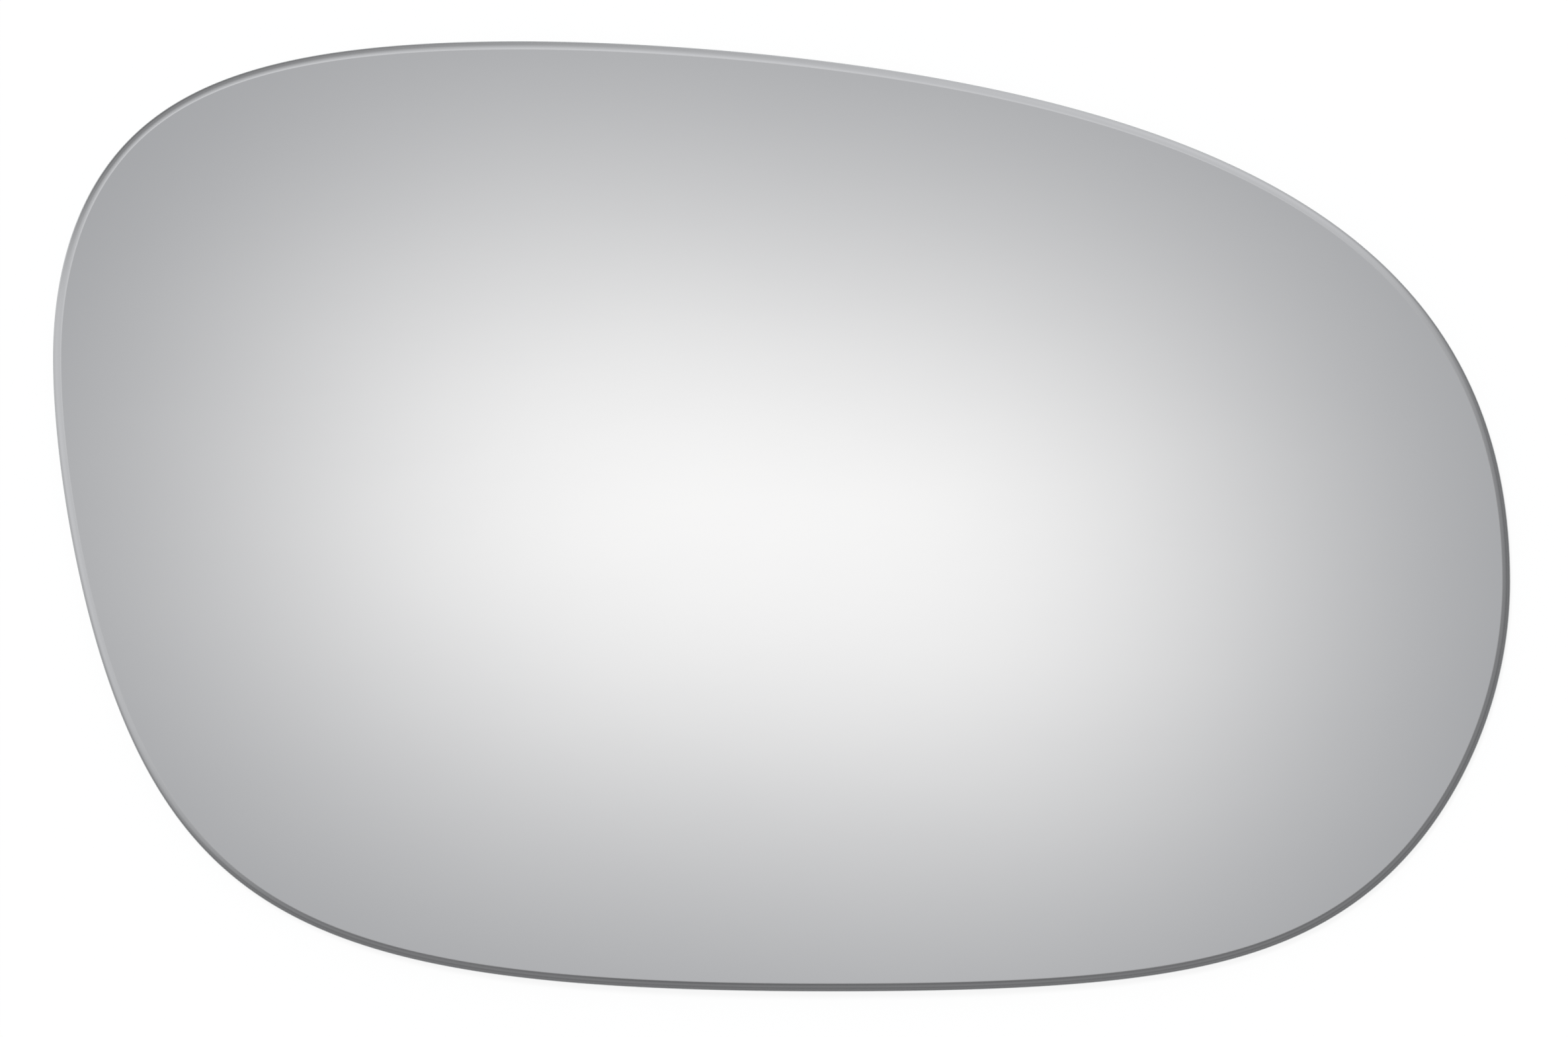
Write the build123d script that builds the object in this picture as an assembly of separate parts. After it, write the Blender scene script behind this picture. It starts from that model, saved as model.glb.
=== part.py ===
from build123d import *
import math
import os

# Car door mirror glass: one sheet of glass, bent to a shallow dome and cut to a rounded outline, with a
# slope ground along both rims and rounded into the faces. It lies on its rim with the reflecting face up.
# X runs along its length, Y up the face and Z out of it. Lengths are in millimetres.

# Box around the outline
glass_width = 172.0
glass_height = 112.1

# Sheet and bend
sheet_thickness = 2.0
face_bend_radius = 1400.0

# Slope ground along each rim: how far in and how far down the side it runs, and its rounding into the face
slope_width = 0.56
slope_depth = 0.33
slope_rounding_radius = 1.6

# Share of the slope that its rounding takes up at most
rounding_share = 0.9

# Where the outline touches each side of its box, from the middle of the box
right_touch_y = -7.7
top_touch_x = -31.0
left_touch_y = 18.7
bottom_touch_x = 5.9

# How far the outline is drawn out along the sides of its box, from the touching points
right_draw_up = 48.9
top_draw_right = 27.2
top_draw_left = 37.5
left_draw_up = 19.7
left_draw_down = 24.5
bottom_draw_left = 75.7
bottom_draw_right = 54.6
right_draw_down = 26.2

# How far in from each corner of the box the pole of that corner's curve stands
upper_right_inset_x = 43.6
upper_right_inset_y = 4.9
upper_left_inset_x = 9.1
upper_left_inset_y = 7.5
lower_left_inset_x = 11.6
lower_left_inset_y = 10.7
lower_right_inset_x = 19.0
lower_right_inset_y = 4.7

half_width = glass_width / 2
half_height = glass_height / 2
slope_length = math.hypot(slope_width, slope_depth)
slope_turn = math.atan2(slope_depth, slope_width)
widest_rounding = rounding_share * slope_length / math.tan(slope_turn / 2)


def outline():
    """Flat face inside four smooth curves, each from one touching point to the next."""
    right = Vector(half_width, right_touch_y)
    top = Vector(top_touch_x, half_height)
    left = Vector(-half_width, left_touch_y)
    bottom = Vector(bottom_touch_x, -half_height)

    upper_right = Bezier(
        right,
        right + Vector(0, right_draw_up),
        (half_width - upper_right_inset_x, half_height - upper_right_inset_y),
        top + Vector(top_draw_right, 0),
        top,
    )
    upper_left = Bezier(
        top,
        top - Vector(top_draw_left, 0),
        (-half_width + upper_left_inset_x, half_height - upper_left_inset_y),
        left + Vector(0, left_draw_up),
        left,
    )
    lower_left = Bezier(
        left,
        left - Vector(0, left_draw_down),
        (-half_width + lower_left_inset_x, -half_height + lower_left_inset_y),
        bottom - Vector(bottom_draw_left, 0),
        bottom,
    )
    lower_right = Bezier(
        bottom,
        bottom + Vector(bottom_draw_right, 0),
        (half_width - lower_right_inset_x, -half_height + lower_right_inset_y),
        right - Vector(0, right_draw_down),
        right,
    )
    return make_face([upper_right, upper_left, lower_left, lower_right])


def bent_sheet():
    """Ball shell with its crown at the origin, turned so that its seam and poles miss the glass."""
    lying = (90, 0, 0)
    front = Sphere(face_bend_radius, rotation=lying)
    back = Sphere(face_bend_radius - sheet_thickness, rotation=lying)
    return Pos(0, 0, -face_bend_radius) * (front - back)


def domed_faces(pane):
    """Back and front of the pane, in that order."""
    return pane.faces().filter_by(GeomType.SPHERE).sort_by(Axis.Z)


def grind_rims(pane):
    """Pane with a slope along both rims, rounded into the domed faces."""
    for side in range(2):
        face = domed_faces(pane)[side]
        pane = pane.chamfer(slope_width, slope_depth, face.edges(), face)
    return pane.fillet(min(slope_rounding_radius, widest_rounding), domed_faces(pane).edges())


def mirror_glass():
    """Sheet cut through along the outline, with both rims ground and the lowest point at height zero."""
    cutter = extrude(outline(), amount=half_height, both=True)
    pane = (cutter & bent_sheet()).solid()
    ground = grind_rims(pane)
    return Pos(0, 0, -ground.bounding_box().min.Z) * ground


os.makedirs("parts", exist_ok=True)
glass = mirror_glass()
glass.label = "mirror_glass"
export_step(glass, "parts/mirror_glass.step")
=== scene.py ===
import math

import bmesh
import bpy
from bpy.props import FloatProperty, FloatVectorProperty, IntProperty, PointerProperty
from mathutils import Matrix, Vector


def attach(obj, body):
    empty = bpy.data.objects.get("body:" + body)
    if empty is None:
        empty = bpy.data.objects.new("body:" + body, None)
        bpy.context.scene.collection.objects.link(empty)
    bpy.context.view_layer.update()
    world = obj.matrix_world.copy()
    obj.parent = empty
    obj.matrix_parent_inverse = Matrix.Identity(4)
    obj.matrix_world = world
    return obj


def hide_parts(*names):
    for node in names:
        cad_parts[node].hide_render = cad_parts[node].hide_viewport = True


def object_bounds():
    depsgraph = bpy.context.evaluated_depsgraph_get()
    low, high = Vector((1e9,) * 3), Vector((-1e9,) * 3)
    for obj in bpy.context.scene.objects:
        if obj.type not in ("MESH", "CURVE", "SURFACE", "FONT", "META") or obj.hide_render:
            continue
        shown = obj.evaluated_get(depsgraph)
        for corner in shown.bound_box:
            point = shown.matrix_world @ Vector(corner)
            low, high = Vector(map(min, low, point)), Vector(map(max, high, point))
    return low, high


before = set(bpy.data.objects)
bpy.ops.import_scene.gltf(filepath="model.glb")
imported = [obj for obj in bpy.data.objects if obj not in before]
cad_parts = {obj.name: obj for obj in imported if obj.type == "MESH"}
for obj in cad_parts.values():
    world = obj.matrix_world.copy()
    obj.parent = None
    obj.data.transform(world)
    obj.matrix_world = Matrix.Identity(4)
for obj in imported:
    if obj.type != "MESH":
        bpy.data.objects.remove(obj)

bl_info = {
    "name": "Door Mirror Glass",
    "version": (1, 0, 0),
    "blender": (4, 5, 0),
    "location": "3D View > Sidebar > Mirror Glass",
    "description": "Builds a bent door mirror glass with its silver, ground edge and painted back",
    "category": "Object",
}

MM = 0.001
PANE_NODE = "mirror_glass"

CAD_LOW, CAD_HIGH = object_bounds()
CAD_SIZE = CAD_HIGH - CAD_LOW


def length(name, description, default):
    """Property for a length in metres."""
    return FloatProperty(
        name=name, description=description, default=default, subtype="DISTANCE", unit="LENGTH", precision=5
    )


def count(name, description, default, least):
    """Property for a whole number."""
    return IntProperty(name=name, description=description, default=default, min=least)


def share(name, description, default):
    """Property for a plain number from 0 to 1."""
    return FloatProperty(
        name=name, description=description, default=default, min=0.0, max=1.0, subtype="FACTOR", precision=3
    )


def colour(name, description, default):
    """Property for a linear colour."""
    return FloatVectorProperty(
        name=name, description=description, default=default, min=0.0, max=1.0, size=3, subtype="COLOR"
    )


class MirrorGlassOutline(bpy.types.PropertyGroup):
    """Outline of the glass, seen from the front."""

    width: length("Width", "Width of the box around the outline", CAD_SIZE.x)
    height: length("Height", "Height of the box around the outline", CAD_SIZE.y)

    right_touch_y: length("Right touch", "Where the outline touches the right of its box", -7.7 * MM)
    top_touch_x: length("Top touch", "Where the outline touches the top of its box", -31.0 * MM)
    left_touch_y: length("Left touch", "Where the outline touches the left of its box", 18.7 * MM)
    bottom_touch_x: length("Bottom touch", "Where the outline touches the bottom of its box", 5.9 * MM)

    right_draw_up: length("Right drawn up", "How far the curve is drawn up the right", 48.9 * MM)
    top_draw_right: length("Top drawn right", "How far the curve is drawn right on top", 27.2 * MM)
    top_draw_left: length("Top drawn left", "How far the curve is drawn left on top", 37.5 * MM)
    left_draw_up: length("Left drawn up", "How far the curve is drawn up the left", 19.7 * MM)
    left_draw_down: length("Left drawn down", "How far the curve is drawn down the left", 24.5 * MM)
    bottom_draw_left: length("Bottom drawn left", "How far the curve is drawn left below", 75.7 * MM)
    bottom_draw_right: length("Bottom drawn right", "How far the curve is drawn right below", 54.6 * MM)
    right_draw_down: length("Right drawn down", "How far the curve is drawn down the right", 26.2 * MM)

    upper_right_inset_x: length("Upper right inset X", "How far in the upper right pole stands", 43.6 * MM)
    upper_right_inset_y: length("Upper right inset Y", "How far down the upper right pole stands", 4.9 * MM)
    upper_left_inset_x: length("Upper left inset X", "How far in the upper left pole stands", 9.1 * MM)
    upper_left_inset_y: length("Upper left inset Y", "How far down the upper left pole stands", 7.5 * MM)
    lower_left_inset_x: length("Lower left inset X", "How far in the lower left pole stands", 11.6 * MM)
    lower_left_inset_y: length("Lower left inset Y", "How far up the lower left pole stands", 10.7 * MM)
    lower_right_inset_x: length("Lower right inset X", "How far in the lower right pole stands", 19.0 * MM)
    lower_right_inset_y: length("Lower right inset Y", "How far up the lower right pole stands", 4.7 * MM)


class MirrorGlassPane(bpy.types.PropertyGroup):
    """Sheet, bend and ground edge of the glass."""

    thickness: length("Thickness", "Thickness of the sheet", 2.0 * MM)
    bend_radius: length("Bend radius", "Radius of the reflecting face", 1400.0 * MM)
    crown: length("Crown", "Height of the middle of the reflecting face above the floor", CAD_HIGH.z)
    slope_width: length("Slope width", "How far in the slope ground on each rim runs", 0.56 * MM)
    slope_depth: length("Slope depth", "How far down the side the slope runs", 0.33 * MM)
    slope_rounding: length("Slope rounding", "How far the slope is rounded into the faces", 0.545 * MM)
    corner_rounding: length("Corner rounding", "How far the slope is rounded into the side", 0.035 * MM)
    curve_steps: count("Curve steps", "Points on each of the outline's four curves", 130, 8)
    ring_count: count("Rings", "Rings of faces between the rim and the middle", 22, 2)
    slope_steps: count("Slope steps", "Faces across the rounding between face and slope", 8, 2)
    corner_steps: count("Corner steps", "Faces across the rounding between slope and side", 3, 1)


class MirrorGlassFinish(bpy.types.PropertyGroup):
    """Colours of the three finishes."""

    silver: colour("Silver", "Colour of the reflecting face", (0.90, 0.905, 0.905))
    silver_haze: colour("Haze", "Colour of the face under a faint haze", (0.885, 0.89, 0.892))
    silver_edge: colour("Edge, silver", "Colour of the silver seen in the edge", (0.89, 0.887, 0.872))
    edge_light: colour("Edge, light", "Lighter tone of the ground edge", (0.35, 0.40, 0.38))
    edge_dark: colour("Edge, dark", "Darker tone of the ground edge", (0.26, 0.305, 0.29))
    back_light: colour("Back, light", "Lighter tone of the paint on the back", (0.255, 0.265, 0.27))
    back_dark: colour("Back, dark", "Darker tone of the paint on the back", (0.23, 0.24, 0.245))


class MirrorGlassStudio(bpy.types.PropertyGroup):
    """Camera, floor and light."""

    camera_height: length("Camera height", "Height of the camera above the rim", 3.0)
    floor_radius: length("Floor radius", "Radius of the round floor", 4.0)
    floor_colour: colour("Floor", "Colour of the floor, under its white", (0.11, 0.11, 0.11))
    floor_white: share("Floor white", "Light that makes the floor white, where it is seen", 0.898)
    room_tint: colour("Room tint", "Tint of the studio's ceiling and walls", (0.943, 0.956, 1.0))
    ceiling_level: share("Ceiling level", "Light from the ceiling, away from the lamp", 0.382)
    lamp_tint: colour("Lamp tint", "Tint of the soft overhead lamp", (1.0, 0.98, 0.953))
    lamp_level: share("Lamp level", "Light that the soft overhead lamp adds", 0.674)
    lit_level: share("Lit wall level", "Light from the walls at the upper left", 0.59)
    dark_level: share("Dark wall level", "Light from the walls at the lower right", 0.095)
    band_level: share("Band level", "Light that a soft pale band adds to the lit walls", 0.085)
    strip_level: share("Strip level", "Light that soft strips add to the dark walls and the flag", 0.17)
    horizon_level: share("Horizon level", "Light from the pale horizon where walls meet floor", 0.85)
    flag_level: share("Flag level", "Light from the dark flag in front of the lit walls", 0.10)
    card_level: share("Card level", "Light from the bright card above the flag", 0.72)
    key_strength: FloatProperty(
        name="Key strength", description="Strength of the soft key light", default=1.9, min=0.0
    )


# Material slots of the pane, in the order in which its faces use them
SILVER, EDGE, BACK = range(3)

# How upright the normals of the side are at most, and those of the domed faces at least
SIDE_UPRIGHT = 0.1
FACE_UPRIGHT = 0.97

# How near to a ball a point has to be to lie on it
BALL_NEAR = 0.01 * MM

# Attribute that holds how far the surface has turned from the face to the back
EDGE_TURN = "edge_turn"


def curve_point(poles, t):
    """Point at t on the smooth curve that a chain of poles draws."""
    while len(poles) > 1:
        poles = [a.lerp(b, t) for a, b in zip(poles, poles[1:])]
    return poles[0]


def outline_poles(outline):
    """Poles of the four curves, from the right touching point round to it again."""
    right_x, top_y = outline.width / 2, outline.height / 2
    left_x, bottom_y = -right_x, -top_y
    right = Vector((right_x, outline.right_touch_y, 0))
    top = Vector((outline.top_touch_x, top_y, 0))
    left = Vector((left_x, outline.left_touch_y, 0))
    bottom = Vector((outline.bottom_touch_x, bottom_y, 0))
    along = Vector((1, 0, 0))
    up = Vector((0, 1, 0))
    return (
        (
            right,
            right + up * outline.right_draw_up,
            Vector((right_x - outline.upper_right_inset_x, top_y - outline.upper_right_inset_y, 0)),
            top + along * outline.top_draw_right,
            top,
        ),
        (
            top,
            top - along * outline.top_draw_left,
            Vector((left_x + outline.upper_left_inset_x, top_y - outline.upper_left_inset_y, 0)),
            left + up * outline.left_draw_up,
            left,
        ),
        (
            left,
            left - up * outline.left_draw_down,
            Vector((left_x + outline.lower_left_inset_x, bottom_y + outline.lower_left_inset_y, 0)),
            bottom - along * outline.bottom_draw_left,
            bottom,
        ),
        (
            bottom,
            bottom + along * outline.bottom_draw_right,
            Vector((right_x - outline.lower_right_inset_x, bottom_y + outline.lower_right_inset_y, 0)),
            right - up * outline.right_draw_down,
            right,
        ),
    )


def draw_outline(bm, outline, steps):
    """Closed loop of edges along the outline."""
    verts = []
    for poles in outline_poles(outline):
        verts += [bm.verts.new(curve_point(poles, step / steps)) for step in range(steps)]
    return [bm.edges.new(pair) for pair in zip(verts, verts[1:] + verts[:1])]


def fill_with_rings(bm, loop, ring_count):
    """Flat sheet inside the loop: rings that close in on the middle, and a fan there."""
    for ring in range(ring_count):
        shrink = (ring_count - ring) / (ring_count + 1 - ring)
        made = bmesh.ops.extrude_edge_only(bm, edges=loop)["geom"]
        verts = {item for item in made if isinstance(item, bmesh.types.BMVert)}
        bmesh.ops.scale(bm, vec=(shrink, shrink, 1), verts=list(verts))
        loop = [e for e in made if isinstance(e, bmesh.types.BMEdge) and verts.issuperset(e.verts)]
    middle = bmesh.ops.edgeloop_fill(bm, edges=loop)["faces"]
    bmesh.ops.poke(bm, faces=middle)


def dome_height(point, radius, centre_z):
    """Height of a ball over a point of the plan."""
    return centre_z + math.sqrt(radius**2 - point.x**2 - point.y**2)


def bend_sheet(bm, pane):
    """Lifts the sheet to the face's ball, and closes it below with the back's ball."""
    centre_z = pane.crown - pane.bend_radius
    for vert in bm.verts:
        vert.co.z = dome_height(vert.co, pane.bend_radius, centre_z)
    made = bmesh.ops.extrude_face_region(bm, geom=bm.faces[:])["geom"]
    for vert in made:
        if isinstance(vert, bmesh.types.BMVert):
            vert.co.z = dome_height(vert.co, pane.bend_radius - pane.thickness, centre_z)
    bmesh.ops.recalc_face_normals(bm, faces=bm.faces[:])


def creases(bm, upright):
    """Edges between a face whose normal is more upright than a share and one whose normal is less so."""
    bm.normal_update()
    flat = {face for face in bm.faces if abs(face.normal.z) > upright}
    return [edge for edge in bm.edges if len(flat.intersection(edge.link_faces)) == 1]


def round_off(bm, edges, width, steps):
    """Bevels edges: a flat slope in one step, a rounding in more."""
    bmesh.ops.bevel(
        bm,
        geom=edges,
        offset=width,
        offset_type="OFFSET",
        affect="EDGES",
        segments=steps,
        profile=0.5,
        clamp_overlap=True,
        loop_slide=True,
        material=-1,
    )


def grind_edge(bm, pane):
    """Grinds a slope on both rims, then rounds it widely into the faces and a little into the side."""
    rims = creases(bm, SIDE_UPRIGHT)
    taller = pane.slope_width / pane.slope_depth
    bmesh.ops.scale(bm, vec=(1, 1, taller), verts=bm.verts[:])
    round_off(bm, rims, pane.slope_width, 1)
    bmesh.ops.scale(bm, vec=(1, 1, 1 / taller), verts=bm.verts[:])
    round_off(bm, creases(bm, FACE_UPRIGHT), pane.slope_rounding, pane.slope_steps)
    round_off(bm, creases(bm, SIDE_UPRIGHT), pane.corner_rounding, pane.corner_steps)
    bmesh.ops.recalc_face_normals(bm, faces=bm.faces[:])


def sort_faces(bm, pane):
    """Gives each face its finish by the ball that it lies on."""
    centre_z = pane.crown - pane.bend_radius
    for face in bm.faces:
        face.smooth = True
        face.material_index = EDGE
        for index, radius in ((SILVER, pane.bend_radius), (BACK, pane.bend_radius - pane.thickness)):
            if all(abs(v.co.z - dome_height(v.co, radius, centre_z)) < BALL_NEAR for v in face.verts):
                face.material_index = index


def mark_turn(bm):
    """Notes at each point how far the surface has turned over: 0 on the face, 1 on the back."""
    turn = bm.verts.layers.float.new(EDGE_TURN)
    bm.normal_update()
    for vert in bm.verts:
        vert[turn] = vert.normal.angle((0, 0, 1)) / math.pi


def set_dome_normals(mesh, pane):
    """Shades both domed faces as true balls right up to the rounded edge."""
    centre = Vector((0, 0, pane.crown - pane.bend_radius))
    normals = [normal.vector.copy() for normal in mesh.vertex_normals]
    outward = {SILVER: 1, BACK: -1}
    for face in mesh.polygons:
        if face.material_index in outward:
            for index in face.vertices:
                ray = (mesh.vertices[index].co - centre).normalized()
                normals[index] = ray * outward[face.material_index]
    mesh.normals_split_custom_set_from_vertices(normals)


# Places of a mix node's two colours and of the mixed one among its sockets
MIX_LOW = 6
MIX_HIGH = 7
MIX_RESULT = 2


def set_inputs(tree, node, inputs):
    """Sets a node's inputs, or links them where they are given a socket."""
    for name, value in inputs.items():
        if isinstance(value, bpy.types.NodeSocket):
            tree.links.new(value, node.inputs[name])
        else:
            node.inputs[name].default_value = value


def add_node(tree, kind, inputs=None, **options):
    """Adds a node, sets its options, and sets or links its inputs."""
    node = tree.nodes.new(kind)
    for name, value in options.items():
        setattr(node, name, value)
    set_inputs(tree, node, inputs or {})
    return node


def calculate(tree, operation, *values):
    """Adds a math node and returns its result."""
    return add_node(tree, "ShaderNodeMath", dict(enumerate(values)), operation=operation).outputs[0]


def vector_math(tree, operation, *values, output=0):
    """Adds a vector math node and returns its result."""
    node = add_node(tree, "ShaderNodeVectorMath", dict(enumerate(values)), operation=operation)
    return node.outputs[output]


def scaled(tree, vector, factor):
    """Vector or colour times a number."""
    inputs = {0: vector, "Scale": factor}
    return add_node(tree, "ShaderNodeVectorMath", inputs, operation="SCALE").outputs[0]


def between(tree, mask, low, high):
    """Number that goes from low to high with the mask."""
    inputs = {"Value": mask, "To Min": low, "To Max": high}
    return add_node(tree, "ShaderNodeMapRange", inputs).outputs["Result"]


def ease(tree, value, start, end, low=0.0, high=1.0):
    """Number that eases from low to high while the value goes from start to end."""
    inputs = {"Value": value, "From Min": start, "From Max": end, "To Min": low, "To Max": high}
    return add_node(tree, "ShaderNodeMapRange", inputs, interpolation_type="SMOOTHSTEP").outputs["Result"]


def blend(tree, mask, low, high):
    """Colour that goes from low to high with the mask."""
    inputs = {"Factor": mask, MIX_LOW: low, MIX_HIGH: high}
    return add_node(tree, "ShaderNodeMix", inputs, data_type="RGBA").outputs[MIX_RESULT]


def opaque(rgb):
    """Colour with full alpha."""
    return (*rgb, 1.0)


def object_place(tree):
    """Place on the object."""
    return add_node(tree, "ShaderNodeTexCoord").outputs["Object"]


def new_finish(name):
    """Material with an empty tree, its tree and its shader."""
    material = bpy.data.materials.new(name)
    material.use_nodes = True
    tree = material.node_tree
    tree.nodes.clear()
    shader = add_node(tree, "ShaderNodeBsdfPrincipled")
    add_node(tree, "ShaderNodeOutputMaterial", {"Surface": shader.outputs["BSDF"]})
    return material, tree, shader


# Soft mottle: how many sizes of cloud it adds up, and the part of their range that is spread out
MOTTLE_DETAIL = 4.0
MOTTLE_LOW = 0.3
MOTTLE_HIGH = 0.7

# Haze on the silver: its clouds, and how rough the face is without and with it
HAZE_PER_METRE = 28
HAZE_RAGGEDNESS = 0.6
HAZE_STRETCH = (0.6, 1.8, 1)
FACE_ROUGHNESS = (0.02, 0.045)

# Turn at which the silver stops showing through the edge, and at which its ground part begins
SILVER_END = 0.22
GROUND_BEGIN = 0.28

# Grain of the ground edge
GRAIN_PER_METRE = 900
GRAIN_RAGGEDNESS = 0.6

# Fine lines left by grinding along the edge, how rough the silver and the ground part are between and on
# them, and how the ground part shines
LINES_PER_METRE = 300
LINES_RAGGEDNESS = 0.55
LINES_STRETCH = (0.12, 0.12, 0.11)
LINES_STRENGTH = 0.1
LINES_DEPTH = 0.01 * MM
SILVER_EDGE_ROUGHNESS = (0.19, 0.25)
GROUND_ROUGHNESS = (0.36, 0.48)
GLASS_IOR = 1.52
GROUND_GLOSS = 0.2

# Paint on the back: its clouds, how rough it is in them, and its orange peel
CLOUDS_PER_METRE = 60
CLOUDS_RAGGEDNESS = 0.65
PAINT_ROUGHNESS = (0.5, 0.62)
PEEL_PER_METRE = 650
PEEL_RAGGEDNESS = 0.5
PEEL_STRENGTH = 0.2
PEEL_DEPTH = 0.03 * MM


def mottle_group():
    """Node group that makes a soft mottle: a mask from 0 to 1 of clouds of a given size and stretch."""
    group = bpy.data.node_groups.new("Mottle", "ShaderNodeTree")
    socket = group.interface.new_socket
    socket("Vector", in_out="INPUT", socket_type="NodeSocketVector")
    socket("Stretch", in_out="INPUT", socket_type="NodeSocketVector")
    socket("Clouds per metre", in_out="INPUT", socket_type="NodeSocketFloat")
    socket("Raggedness", in_out="INPUT", socket_type="NodeSocketFloat")
    socket("Mask", in_out="OUTPUT", socket_type="NodeSocketFloat")
    given = add_node(group, "NodeGroupInput").outputs
    stretched = add_node(
        group, "ShaderNodeMapping", {"Vector": given["Vector"], "Scale": given["Stretch"]}
    ).outputs["Vector"]
    clouds = add_node(
        group,
        "ShaderNodeTexNoise",
        {
            "Vector": stretched,
            "Scale": given["Clouds per metre"],
            "Roughness": given["Raggedness"],
            "Detail": MOTTLE_DETAIL,
        },
    ).outputs["Fac"]
    mask = add_node(
        group, "ShaderNodeMapRange", {"Value": clouds, "From Min": MOTTLE_LOW, "From Max": MOTTLE_HIGH}
    ).outputs["Result"]
    add_node(group, "NodeGroupOutput", {"Mask": mask})
    return group


def add_mottle(tree, group, place, per_metre, raggedness, stretch=(1, 1, 1)):
    """Puts the mottle group into a material and returns its mask."""
    inputs = {"Vector": place, "Stretch": stretch, "Clouds per metre": per_metre, "Raggedness": raggedness}
    return add_node(tree, "ShaderNodeGroup", inputs, node_tree=group).outputs["Mask"]


def bumps(tree, height, strength, depth):
    """Normal of a surface with small bumps."""
    inputs = {"Height": height, "Strength": strength, "Distance": depth}
    return add_node(tree, "ShaderNodeBump", inputs).outputs["Normal"]


def silvered_finish(finish, mottle):
    """Silver seen through clear glass, with a faint haze left by wiping."""
    material, tree, shader = new_finish("silvered_face")
    haze = add_mottle(tree, mottle, object_place(tree), HAZE_PER_METRE, HAZE_RAGGEDNESS, HAZE_STRETCH)
    look = {
        "Base Color": blend(tree, haze, opaque(finish.silver), opaque(finish.silver_haze)),
        "Roughness": between(tree, haze, *FACE_ROUGHNESS),
        "Metallic": 1.0,
    }
    set_inputs(tree, shader, look)
    return material


def ground_finish(finish, mottle):
    """Ground edge: the silver shows through its turn towards the face, and the rest is satin glass."""
    material, tree, shader = new_finish("ground_edge")
    turn = add_node(tree, "ShaderNodeAttribute", attribute_name=EDGE_TURN).outputs["Fac"]
    ground = ease(tree, turn, SILVER_END, GROUND_BEGIN)
    place = object_place(tree)
    flat = add_node(tree, "ShaderNodeSeparateXYZ", {"Vector": place}).outputs
    along = add_node(
        tree, "ShaderNodeCombineXYZ", {"X": flat["X"], "Y": flat["Y"], "Z": turn}
    ).outputs["Vector"]
    grain = add_mottle(tree, mottle, place, GRAIN_PER_METRE, GRAIN_RAGGEDNESS)
    lines = add_mottle(tree, mottle, along, LINES_PER_METRE, LINES_RAGGEDNESS, LINES_STRETCH)
    satin = blend(tree, grain, opaque(finish.edge_dark), opaque(finish.edge_light))
    smooth = between(tree, lines, *SILVER_EDGE_ROUGHNESS)
    rough = between(tree, lines, *GROUND_ROUGHNESS)
    look = {
        "Base Color": blend(tree, ground, opaque(finish.silver_edge), satin),
        "Metallic": between(tree, ground, 1.0, 0.0),
        "Roughness": between(tree, ground, smooth, rough),
        "Normal": bumps(tree, lines, LINES_STRENGTH, LINES_DEPTH),
        "IOR": GLASS_IOR,
        "Specular IOR Level": GROUND_GLOSS,
    }
    set_inputs(tree, shader, look)
    return material


def painted_finish(finish, mottle):
    """Grey paint that shields the silver, with a slight orange peel."""
    material, tree, shader = new_finish("painted_back")
    place = object_place(tree)
    clouds = add_mottle(tree, mottle, place, CLOUDS_PER_METRE, CLOUDS_RAGGEDNESS)
    peel = add_mottle(tree, mottle, place, PEEL_PER_METRE, PEEL_RAGGEDNESS)
    look = {
        "Base Color": blend(tree, clouds, opaque(finish.back_dark), opaque(finish.back_light)),
        "Roughness": between(tree, clouds, *PAINT_ROUGHNESS),
        "Normal": bumps(tree, peel, PEEL_STRENGTH, PEEL_DEPTH),
    }
    set_inputs(tree, shader, look)
    return material


class MIRRORGLASS_OT_build_pane(bpy.types.Operator):
    """Builds the bent glass with its silver, ground edge and painted back"""

    bl_idname = "mirror_glass.build_pane"
    bl_label = "Build Mirror Glass"

    def execute(self, context):
        outline = context.scene.mirror_glass_outline
        pane = context.scene.mirror_glass_pane
        finish = context.scene.mirror_glass_finish

        bm = bmesh.new()
        loop = draw_outline(bm, outline, pane.curve_steps)
        fill_with_rings(bm, loop, pane.ring_count)
        bend_sheet(bm, pane)
        grind_edge(bm, pane)
        sort_faces(bm, pane)
        mark_turn(bm)
        mesh = bpy.data.meshes.new("mirror_pane")
        bm.to_mesh(mesh)
        bm.free()
        if not mesh.polygons:
            raise RuntimeError("the mirror glass has no faces")

        mottle = mottle_group()
        for material in (
            silvered_finish(finish, mottle),
            ground_finish(finish, mottle),
            painted_finish(finish, mottle),
        ):
            mesh.materials.append(material)
        set_dome_normals(mesh, pane)

        piece = bpy.data.objects.new("mirror_pane", mesh)
        context.collection.objects.link(piece)
        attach(piece, "root")
        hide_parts(PANE_NODE)
        return {"FINISHED"}


# Framing of the picture, in its pixels
PICTURE_WIDTH = 2371
PICTURE_HEIGHT = 1568
OUTLINE_WIDTH = 2203.6
OUTLINE_MIDDLE_X = 1181.9
OUTLINE_MIDDLE_Y = 780.7

# Width of the camera's sensor, in millimetres
SENSOR_WIDTH = 36.0

# Height of the ground slope at both ends of the glass
RIM_HEIGHT = 2.0 * MM

# Straight stretches in the floor's round border
FLOOR_SIDES = 96


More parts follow.
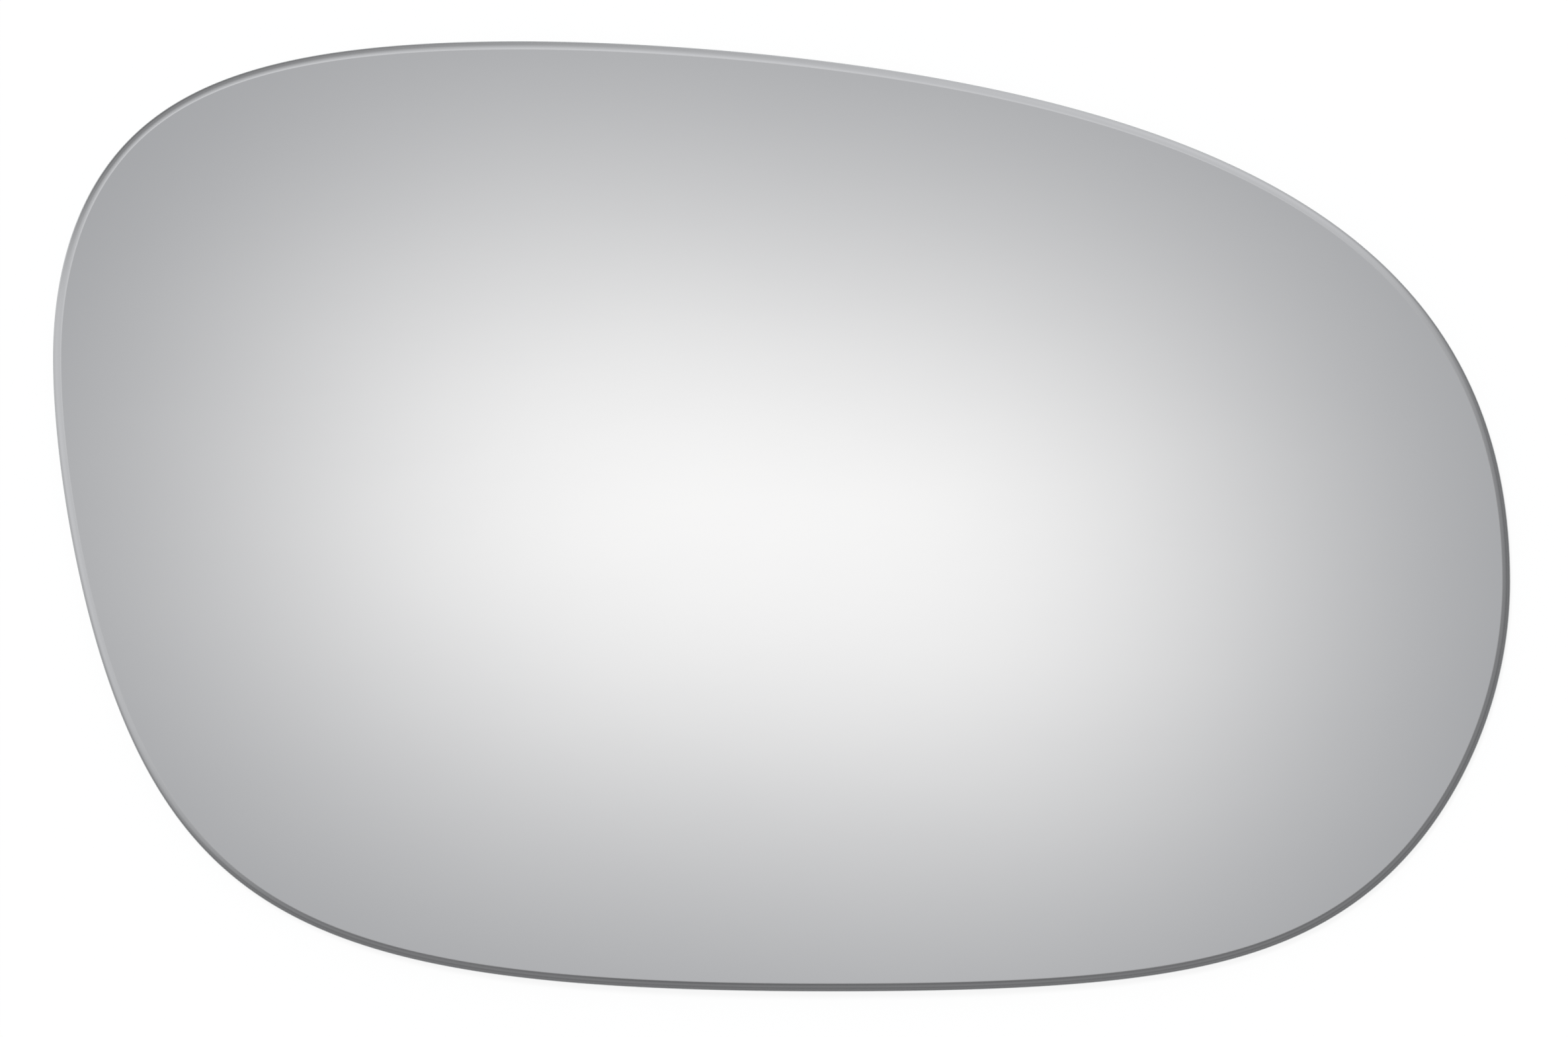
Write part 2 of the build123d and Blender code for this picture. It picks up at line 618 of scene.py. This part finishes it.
def set_camera(scene, studio, outline):
    """Camera that looks straight down and frames the glass."""
    per_pixel = outline.width / OUTLINE_WIDTH
    data = bpy.data.cameras.new("camera")
    data.sensor_width = SENSOR_WIDTH
    data.lens = SENSOR_WIDTH * studio.camera_height / (PICTURE_WIDTH * per_pixel)
    camera = bpy.data.objects.new("camera", data)
    camera.location = (
        (PICTURE_WIDTH / 2 - OUTLINE_MIDDLE_X) * per_pixel,
        (OUTLINE_MIDDLE_Y - PICTURE_HEIGHT / 2) * per_pixel,
        RIM_HEIGHT + studio.camera_height,
    )
    scene.collection.objects.link(camera)
    scene.camera = camera


def floor_finish(studio):
    """Dull floor that the camera, and what shines, see as white."""
    material, tree, shader = new_finish("pale_floor")
    path = add_node(tree, "ShaderNodeLightPath").outputs
    shiny = calculate(tree, "ADD", path["Is Glossy Ray"], path["Is Transmission Ray"])
    seen = calculate(tree, "MINIMUM", calculate(tree, "ADD", path["Is Camera Ray"], shiny), 1.0)
    look = {
        "Base Color": opaque(studio.floor_colour),
        "Roughness": 1.0,
        "Specular IOR Level": 0.0,
        "Emission Color": (1, 1, 1, 1),
        "Emission Strength": calculate(tree, "MULTIPLY", seen, studio.floor_white),
    }
    set_inputs(tree, shader, look)
    return material


def lay_floor(scene, studio):
    """Round pale floor under the glass."""
    bm = bmesh.new()
    bmesh.ops.create_circle(bm, cap_ends=True, segments=FLOOR_SIDES, radius=studio.floor_radius)
    mesh = bpy.data.meshes.new("floor")
    bm.to_mesh(mesh)
    bm.free()
    mesh.materials.append(floor_finish(studio))
    floor = bpy.data.objects.new("floor", mesh)
    scene.collection.objects.link(floor)


# Soft overhead lamp, placed by where the face shows it: its middle, how far it reaches along and across,
# how squarely it falls off each way, and how far it is turned
LAMP_MIDDLE = (-2.6 * MM, -1.1 * MM)
LAMP_REACH = (67.2 * MM, 42.06 * MM)
LAMP_SQUARENESS = (2.66, 1.95)
LAMP_TURN = math.radians(-8.1)

# Oval ceiling, placed by where the face shows it: its reach along and across, how many reaches out it
# ends, and how many out the lamp has faded and the lit and the dark walls are full
CEILING_REACH = (86.0 * MM, 56.0 * MM)
CEILING_END = 1.15
LAMP_END = 2.2
LIT_WALLS_FULL = 2.0
DARK_WALLS_FULL = 5.0

# Least rise that is reckoned with in finding where the face shows a direction
LOWEST_RISE = 0.2

# Walls: the way to the middle of the lit ones, how far along that way they stop being dark and are fully
# lit, and how much their rise adds to that
WALL_WAY = math.radians(121)
WALL_DARK_FROM = 0.26
WALL_LIT_FROM = 1.06
WALL_LEAN = 0.9

# Soft pale band on the lit walls: the rise of its middle and how far from there it ends
BAND_RISE = 0.68
BAND_REACH = 0.21

# Soft strips on the dark walls and the flag: the rise of their middles and how far from there they end
STRIP_RISES = (0.588, 0.80)
STRIP_REACH = 0.115

# Rise at which the pale horizon ends, and at which it is full
HORIZON_END = 0.48
HORIZON_FULL = 0.02

# Round dark flag before the lit walls and bright card above it: the way to its middle, the height of its
# middle, and half its size out to its rim and to its core
FLAG = tuple(math.radians(angle) for angle in (125, 33, 44, 0))
CARD = tuple(math.radians(angle) for angle in (120, 72, 25, 8))

# Rise at which the flag has faded out, and up to which it is full
FLAG_END = 1.02
FLAG_FULL = 0.70

# Soft key light: the height that it stands at and how wide it looks
KEY_HEIGHT = math.radians(75)
KEY_SPREAD = math.radians(12)


def measured(tree, spot, middle, reach, turn=0.0):
    """Spot measured from a middle in units of a reach along and across, with the axes turned."""
    inputs = {"Vector": spot, "Location": (*middle, 0), "Rotation": (0, 0, turn), "Scale": (*reach, 1)}
    return add_node(tree, "ShaderNodeMapping", inputs, vector_type="TEXTURE").outputs["Vector"]


def mirrored_spot(tree, towards, rise, slope_per_metre):
    """Spot on the face in which the camera sees a direction, in metres from the middle."""
    steep = calculate(tree, "MULTIPLY", calculate(tree, "MAXIMUM", rise, LOWEST_RISE), slope_per_metre)
    spot = scaled(tree, towards, calculate(tree, "DIVIDE", 1.0, steep))
    return vector_math(tree, "MULTIPLY", spot, (1, 1, 0))


def lamp_glow(tree, spot):
    """Glow of the soft lamp overhead, from 0 to 1."""
    placed = measured(tree, spot, LAMP_MIDDLE, LAMP_REACH, LAMP_TURN)
    place = add_node(tree, "ShaderNodeSeparateXYZ", {"Vector": placed}).outputs
    falls = [
        calculate(tree, "POWER", calculate(tree, "ABSOLUTE", place[axis]), squareness)
        for axis, squareness in zip("XY", LAMP_SQUARENESS)
    ]
    return calculate(tree, "EXPONENT", calculate(tree, "MULTIPLY", calculate(tree, "ADD", *falls), -1.0))


def round_patch(tree, towards, way, height, rim, core):
    """Mask of a soft round patch of the studio."""
    middle = (math.cos(way) * math.cos(height), math.sin(way) * math.cos(height), math.sin(height))
    near = vector_math(tree, "DOT_PRODUCT", towards, middle, output="Value")
    return ease(tree, near, math.cos(rim), math.cos(core))


def soft_band(tree, rise, middle, reach, level):
    """Light of a soft band that runs round the studio at a given rise."""
    off = calculate(tree, "ABSOLUTE", calculate(tree, "SUBTRACT", rise, middle))
    return ease(tree, off, reach, 0.0, 0.0, level)


def lit_walls(tree, towards, rise, strips, studio):
    """Light of the bright walls, with a card before them and a dark flag that has the strips on it."""
    card = ease(tree, round_patch(tree, towards, *CARD), 0.0, 1.0, studio.lit_level, studio.card_level)
    flag = calculate(tree, "ADD", studio.flag_level, strips)
    dark = ease(tree, rise, FLAG_END, FLAG_FULL, card, flag)
    return ease(tree, round_patch(tree, towards, *FLAG), 0.0, 1.0, card, dark)


def room_light(tree, towards, rise, outward, studio):
    """Light of the ceiling, the horizon and the walls, which are bright only at the upper left."""
    band = soft_band(tree, rise, BAND_RISE, BAND_REACH, studio.band_level)
    strips = 0.0
    for middle in STRIP_RISES:
        strip = soft_band(tree, rise, middle, STRIP_REACH, studio.strip_level)
        strips = calculate(tree, "ADD", strips, strip)
    lit_wall = calculate(tree, "ADD", lit_walls(tree, towards, rise, strips, studio), band)
    dark_wall = calculate(tree, "ADD", studio.dark_level, strips)
    lit = ease(tree, outward, CEILING_END, LIT_WALLS_FULL, studio.ceiling_level, lit_wall)
    dark = ease(tree, outward, CEILING_END, DARK_WALLS_FULL, studio.ceiling_level, dark_wall)
    lit_way = (math.cos(WALL_WAY), math.sin(WALL_WAY), 0)
    way = vector_math(tree, "NORMALIZE", vector_math(tree, "MULTIPLY", towards, (1, 1, 0)))
    facing = vector_math(tree, "DOT_PRODUCT", way, lit_way, output="Value")
    leaning = calculate(tree, "MULTIPLY_ADD", rise, WALL_LEAN, facing)
    room = ease(tree, leaning, WALL_DARK_FROM, WALL_LIT_FROM, dark, lit)
    return ease(tree, rise, HORIZON_END, HORIZON_FULL, room, studio.horizon_level)


def light_room(scene, studio, pane):
    """World of the studio: a ceiling with a soft lamp, walls and a pale horizon."""
    world = bpy.data.worlds.new("studio")
    scene.world = world
    world.use_nodes = True
    tree = world.node_tree
    tree.nodes.clear()
    towards = add_node(tree, "ShaderNodeTexCoord").outputs["Generated"]
    rise = add_node(tree, "ShaderNodeSeparateXYZ", {"Vector": towards}).outputs["Z"]
    spot = mirrored_spot(tree, towards, rise, 1 / studio.camera_height + 2 / pane.bend_radius)
    outward = vector_math(tree, "LENGTH", measured(tree, spot, (0, 0), CEILING_REACH), output="Value")
    room = room_light(tree, towards, rise, outward, studio)
    lamp = ease(tree, outward, CEILING_END, LAMP_END, studio.lamp_level, 0.0)
    glow = calculate(tree, "MULTIPLY", lamp_glow(tree, spot), lamp)
    tinted_room = scaled(tree, tuple(studio.room_tint), room)
    tinted_glow = scaled(tree, tuple(studio.lamp_tint), glow)
    total = vector_math(tree, "ADD", tinted_room, tinted_glow)
    light = add_node(tree, "ShaderNodeBackground", {"Color": total})
    add_node(tree, "ShaderNodeOutputWorld", {"Surface": light.outputs["Background"]})


def hang_key(scene, studio):
    """Soft key light that casts the shadow."""
    data = bpy.data.lights.new("key", "SUN")
    data.energy = studio.key_strength
    data.angle = KEY_SPREAD
    key = bpy.data.objects.new("key", data)
    key.rotation_euler = (0, math.pi / 2 - KEY_HEIGHT, WALL_WAY)
    key.visible_glossy = False
    scene.collection.objects.link(key)


class MIRRORGLASS_OT_build_stage(bpy.types.Operator):
    """Sets up the floor, the light and the camera"""

    bl_idname = "mirror_glass.build_stage"
    bl_label = "Build Stage"

    def execute(self, context):
        scene = context.scene
        studio = scene.mirror_glass_studio
        lay_floor(scene, studio)
        light_room(scene, studio, scene.mirror_glass_pane)
        hang_key(scene, studio)
        set_camera(scene, studio, scene.mirror_glass_outline)
        scene.view_settings.view_transform = "Standard"
        return {"FINISHED"}


class MIRRORGLASS_PT_panel(bpy.types.Panel):
    """Sizes, finishes and stage of the mirror glass"""

    bl_idname = "MIRRORGLASS_PT_panel"
    bl_label = "Mirror Glass"
    bl_space_type = "VIEW_3D"
    bl_region_type = "UI"
    bl_category = "Mirror Glass"

    def draw(self, context):
        layout = self.layout
        for heading, group in GROUPS.items():
            box = layout.box()
            box.label(text=heading)
            values = getattr(context.scene, group_name(group))
            for name in group.__annotations__:
                box.prop(values, name)
        layout.operator(MIRRORGLASS_OT_build_pane.bl_idname)
        layout.operator(MIRRORGLASS_OT_build_stage.bl_idname)


GROUPS = {
    "Outline": MirrorGlassOutline,
    "Pane": MirrorGlassPane,
    "Finish": MirrorGlassFinish,
    "Studio": MirrorGlassStudio,
}

CLASSES = (
    *GROUPS.values(),
    MIRRORGLASS_OT_build_pane,
    MIRRORGLASS_OT_build_stage,
    MIRRORGLASS_PT_panel,
)


def group_name(group):
    """Name under which a scene holds a group of values."""
    return "mirror_glass_" + group.__name__.removeprefix("MirrorGlass").lower()


def register():
    for cls in CLASSES:
        bpy.utils.register_class(cls)
    for group in GROUPS.values():
        setattr(bpy.types.Scene, group_name(group), PointerProperty(type=group))


def unregister():
    for group in GROUPS.values():
        delattr(bpy.types.Scene, group_name(group))
    for cls in reversed(CLASSES):
        bpy.utils.unregister_class(cls)


def main():
    """Builds the glass and its stage."""
    register()
    bpy.ops.mirror_glass.build_pane()
    bpy.ops.mirror_glass.build_stage()


if __name__ == "__main__":
    main()
